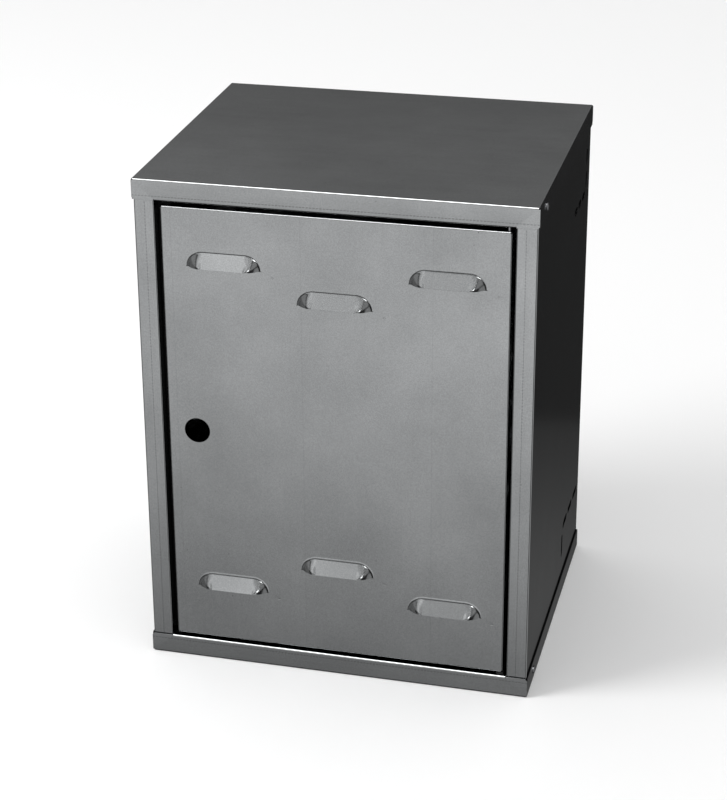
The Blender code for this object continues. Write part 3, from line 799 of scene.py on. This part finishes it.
def rivetProfile(top, tail, tailEnd):
    gap, bore, head = sheet["gap"], rivetSpec["bore"], rivetSpec["head"]
    crown, edge = rivetSpec["crown"], rivetSpec["boreEdge"]
    dome = []
    for step in range(rivetSpec["domeSteps"] + 1):
        share = 1 - step / rivetSpec["domeSteps"]
        dome.append((crown + (head - crown) * share, top - (rivetSpec["headHeight"] - gap) * share**2))
    return [
        (bore, top - edge),
        (bore, tailEnd),
        (rivetSpec["tail"] - 2 * gap, tailEnd),
        (rivetSpec["tail"], tailEnd + 2 * gap),
        (rivetSpec["tail"], tail - 2 * gap),
        (rivetSpec["radius"] + gap, tail),
        (rivetSpec["radius"], tail),
        (rivetSpec["radius"], gap),
        (head, gap),
        *dome,
        (bore + edge, top),
    ]


def mandrelProfile(snapped, bulb):
    stem, snap, height = rivetSpec["mandrel"], rivetSpec["snap"], rivetSpec["bulbHeight"]
    return [
        (0, snapped + snap),
        (0.5 * stem, snapped),
        (0.8 * stem, snapped + snap / 2),
        (stem, snapped - 2 * snap),
        (stem, bulb),
        (rivetSpec["bulb"], bulb),
        (rivetSpec["bulb"], bulb - 0.5 * height),
        (0.6 * rivetSpec["bulb"], bulb - 0.9 * height),
        (0, bulb - height),
    ]


def makeRivets():
    aluminium = turnedMetal("brightAluminium", *rivetSpec["finish"])
    mandrelSteel = turnedMetal("snappedSteel", *rivetSpec["mandrelFinish"])
    gap, fromEdge = sheet["gap"], fixings["rivetFromEdge"]
    tail = -(2 * sheet["thickness"] + 2 * gap)
    tailEnd = tail - rivetSpec["tailHeight"]
    top = gap + rivetSpec["headHeight"]
    rivetLine, mandrelLine = rivetProfile(top, tail, tailEnd), mandrelProfile(top - gap, tailEnd - gap)
    for side, x in (("left", capLow.x), ("right", capHigh.x)):
        for level, z in (("top", capHigh.z - fromEdge), ("bottom", trayLow.z + fromEdge)):
            place = Matrix.Translation((x, capLow.y + fixings["rivetFromFront"], z))
            place = place @ Matrix.Rotation(math.copysign(math.pi / 2, x), 4, "Y")
            rivet = turned(f"rivet_{level}_{side}", rivetLine, place)
            standIn(rivet, f"rivet_{level}_{side}", "cabinet", [aluminium], "aluminium_rivet")
            mandrel = turned(f"mandrel_{level}_{side}", mandrelLine, place)
            node = f"rivet_mandrel_{level}_{side}"
            standIn(mandrel, node, "cabinet", [mandrelSteel], "steel_mandrel")


studio = {
    "paperColour": "#f4f4f4",
    "paperRoughness": 0.9,
    "paperGloss": 0.1,
    "floorHalf": 14.0,
    "floorDrop": 0.2 * mm,  # below the tray, so that the two don't flicker
    "fill": 0.9,  # white light from all round, as the floor sees it
    "keyPlace": (-2.8, -1.6, 2.2),
    "keySize": 1.8,
    "keyPower": 90.0,
    "dimRoom": 0.02,  # what the metal reflects where nothing is lit
}

# What the metal mirrors: soft panels round the room. Azimuth is from the door's front towards its hinge
# side, and each pair is a panel's middle and half its span; all in degrees.
glowPanels = (
    {"name": "floorAhead", "azimuth": (-8, 18), "elevation": (-13.5, 7), "soft": 17, "strength": 0.7},
    {"name": "floorBelow", "azimuth": (0, 10), "elevation": (-26, 7), "soft": 6, "strength": 0.1},
    {"name": "wallAhead", "azimuth": (0, 20), "elevation": (38, 15), "soft": 9, "strength": 0.43},
    {"name": "boardAhead", "azimuth": (-9, 4.5), "elevation": (37, 4), "soft": 2, "strength": 0.25},
    {"name": "windowTop", "azimuth": (-27, 9.2), "elevation": (35, 5), "soft": 1, "strength": 0.6},
    {"name": "windowFoot", "azimuth": (-27, 12.4), "elevation": (23, 6), "soft": 1, "strength": 0.6},
    {"name": "lampAhead", "azimuth": (17, 4), "elevation": (19, 3), "soft": 2, "strength": 6.0},
    {"name": "overhead", "azimuth": (-14, 70), "elevation": (70, 14), "soft": 12, "strength": 4.5},
    {"name": "floorLeft", "azimuth": (-80, 22), "elevation": (-16, 24), "soft": 10, "strength": 0.15},
    {"name": "floorRight", "azimuth": (102, 41), "elevation": (-18, 20), "soft": 9, "strength": 0.3},
    {"name": "wallLeft", "azimuth": (-100, 50), "elevation": (26, 9), "soft": 8, "strength": 0.3},
    {"name": "wallRight", "azimuth": (92, 58), "elevation": (26, 9), "soft": 8, "strength": 0.3},
    {"name": "floorBehindLeft", "azimuth": (-140, 38), "elevation": (-18, 18), "soft": 6, "strength": 0.36},
    {"name": "floorBehind", "azimuth": (164, 26), "elevation": (-45, 20), "soft": 0.2, "strength": 0.018},
    {"name": "floorUnder", "azimuth": (164, 26), "elevation": (-45, 15), "soft": 5.5, "strength": 0.048},
    {"name": "wallBehind", "azimuth": (200, 18), "elevation": (29, 8), "soft": 12, "strength": 0.225},
    {"name": "doorwayBehind", "azimuth": (208.5, 12), "elevation": (26, 9), "soft": 0.5, "strength": 0.035},
)


def addShare(tree, angle, span, soft):  # 1 inside the span, falling to 0 over the soft edge
    middle, half = span
    off = addNode(tree, "Math", {"operation": "SUBTRACT", 1: math.radians(middle)}, {0: angle})
    nearest = addNode(tree, "Math", {"operation": "WRAP", 1: math.pi, 2: -math.pi}, {0: off})
    away = addNode(tree, "Math", {"operation": "ABSOLUTE"}, {0: nearest})
    edge = {"From Min": math.radians(half + soft), "From Max": math.radians(half)}
    return addNode(tree, "MapRange", {"interpolation_type": "SMOOTHSTEP", **edge}, {"Value": away})


def makeRoom():
    world = bpy.data.worlds.new("softStudio")
    world.use_nodes = True
    tree = world.node_tree
    tree.nodes.clear()
    ray = addNode(tree, "TexCoord").outputs["Generated"]
    part = addNode(tree, "SeparateXYZ", {}, {0: ray}).outputs
    ahead = addNode(tree, "Math", {"operation": "MULTIPLY", 1: -1}, {0: part["Y"]})
    azimuth = addNode(tree, "Math", {"operation": "ARCTAN2"}, {0: part["X"], 1: ahead})
    elevation = addNode(tree, "Math", {"operation": "ARCSINE"}, {0: part["Z"]})
    glow = None
    for panel in glowPanels:
        across = addShare(tree, azimuth, panel["azimuth"], panel["soft"])
        upright = addShare(tree, elevation, panel["elevation"], panel["soft"])
        share = addNode(tree, "Math", {"operation": "MULTIPLY"}, {0: across, 1: upright})
        share.label = panel["name"]
        links = {0: share}
        if glow:
            links[2] = glow
        settings = {"operation": "MULTIPLY_ADD", 1: panel["strength"], 2: studio["dimRoom"]}
        glow = addNode(tree, "Math", settings, links)
    mirrored = addNode(tree, "Background", {"Color": (1, 1, 1, 1)}, {"Strength": glow})
    white = addNode(tree, "Background", {"Color": (1, 1, 1, 1), "Strength": studio["fill"]})
    glossy = addNode(tree, "LightPath").outputs["Is Glossy Ray"]
    seen = addNode(tree, "MixShader", {}, {0: glossy, 1: white, 2: mirrored})
    addNode(tree, "OutputWorld", {}, {0: seen})
    bpy.context.scene.world = world


def makeKeyLight():
    lamp = bpy.data.lights.new("keySoftbox", "AREA")
    lamp.shape = "DISK"
    lamp.size = studio["keySize"]
    lamp.energy = studio["keyPower"]
    key = bpy.data.objects.new("keySoftbox", lamp)
    spot = Vector(studio["keyPlace"])
    aim = (cadBox[0] + cadBox[1]) / 2 - spot
    key.matrix_world = Matrix.Translation(spot) @ aim.to_track_quat("-Z", "Y").to_matrix().to_4x4()
    key.visible_glossy = False
    bpy.context.scene.collection.objects.link(key)


def makeFloor():
    bm = bmesh.new()
    bm.faces.new([bm.verts.new(corner) for corner in rectangle(studio["floorHalf"], studio["floorHalf"])])
    mesh = bpy.data.meshes.new("floor")
    bm.to_mesh(mesh)
    bm.free()
    floor = bpy.data.objects.new("floor", mesh)
    floor.location.z = cadBox[0].z - studio["floorDrop"]
    bpy.context.scene.collection.objects.link(floor)
    settings = {
        "Roughness": studio["paperRoughness"],
        "Specular IOR Level": studio["paperGloss"],
        "Base Color": linearFromHex(studio["paperColour"]),
    }
    paper, tree, shader = startMaterial("whiteBackdropPaper", settings)
    mesh.materials.append(paper)
    floor.visible_glossy = False  # the metal mirrors the room's panels instead


view = {
    "place": (0.4752, -1.9714, 1.1459),
    "azimuth": 15.63,
    "elevation": 23.15,
    "roll": -1.02,
    "lens": 99.1,
    "sensor": 36,
    "shiftX": 0.08,
    "shiftY": -0.06,
}


def makeCamera():
    lens = bpy.data.cameras.new("camera")
    lens.lens = view["lens"]
    lens.sensor_width = view["sensor"]
    lens.shift_x, lens.shift_y = view["shiftX"], view["shiftY"]
    camera = bpy.data.objects.new("camera", lens)
    turn = Matrix.Rotation(math.radians(view["azimuth"]), 4, "Z")
    tilt = Matrix.Rotation(math.radians(90 - view["elevation"]), 4, "X")
    roll = Matrix.Rotation(math.radians(view["roll"]), 4, "Z")
    camera.matrix_world = Matrix.Translation(view["place"]) @ turn @ tilt @ roll
    bpy.context.scene.collection.objects.link(camera)
    bpy.context.scene.camera = camera
    bpy.context.scene.view_settings.view_transform = "Standard"


edgeSteel = bareSteelEdgeInShade("bareSteelEdgeInShade")
uprightZinc = zincSheet("zincSheet_upright", {**zincLook, "roughness": 0.1})
lyingLook = {
    "rolledAlong": "X",
    "roughness": 0.12,
    "markAcross": "Z",
    "markSpacing": 468 * mm,
    "markOffset": -16 * mm,
}
lyingZinc = zincSheet("zincSheet_lying", {**zincLook, **lyingLook})
doorLook = {
    "colour": "#babcbd",
    "smudgeSize": 95 * mm,
    "lineTone": 0.008,
    "streakTone": 0.01,
    "markSpacing": 124 * mm,
    "markOffset": 30 * mm,
    "markShare": 0.08,
    "dotShare": 1,
}
doorZinc = zincSheet("zincSheet_door", {**zincLook, **doorLook})

standIn(makeBody(), "body_shell", "cabinet", [uprightZinc, edgeSteel], "galvanised_sheet")
print("body done")
cap = makeLid("topCap", Matrix.Translation((0, 0, capHigh.z)), hingeSpot.x)
standIn(cap, "top_cap", "cabinet", [lyingZinc, edgeSteel], "galvanised_sheet")
turnedOver = Matrix.Translation((0, 0, trayLow.z)) @ Matrix.Rotation(math.pi, 4, "Y")
tray = makeLid("bottomTray", turnedOver, -hingeSpot.x)
standIn(tray, "bottom_tray", "cabinet", [lyingZinc, edgeSteel], "galvanised_sheet")
print("cap and tray done")
standIn(makeDoor(), "door_panel", "door", [doorZinc, edgeSteel], "galvanised_door_sheet")
print("door done")
makeHinge()
makeRivets()
print("pins, clips, bush and rivets done")
makeRoom()
makeKeyLight()
makeFloor()
makeCamera()
print("studio and camera done")
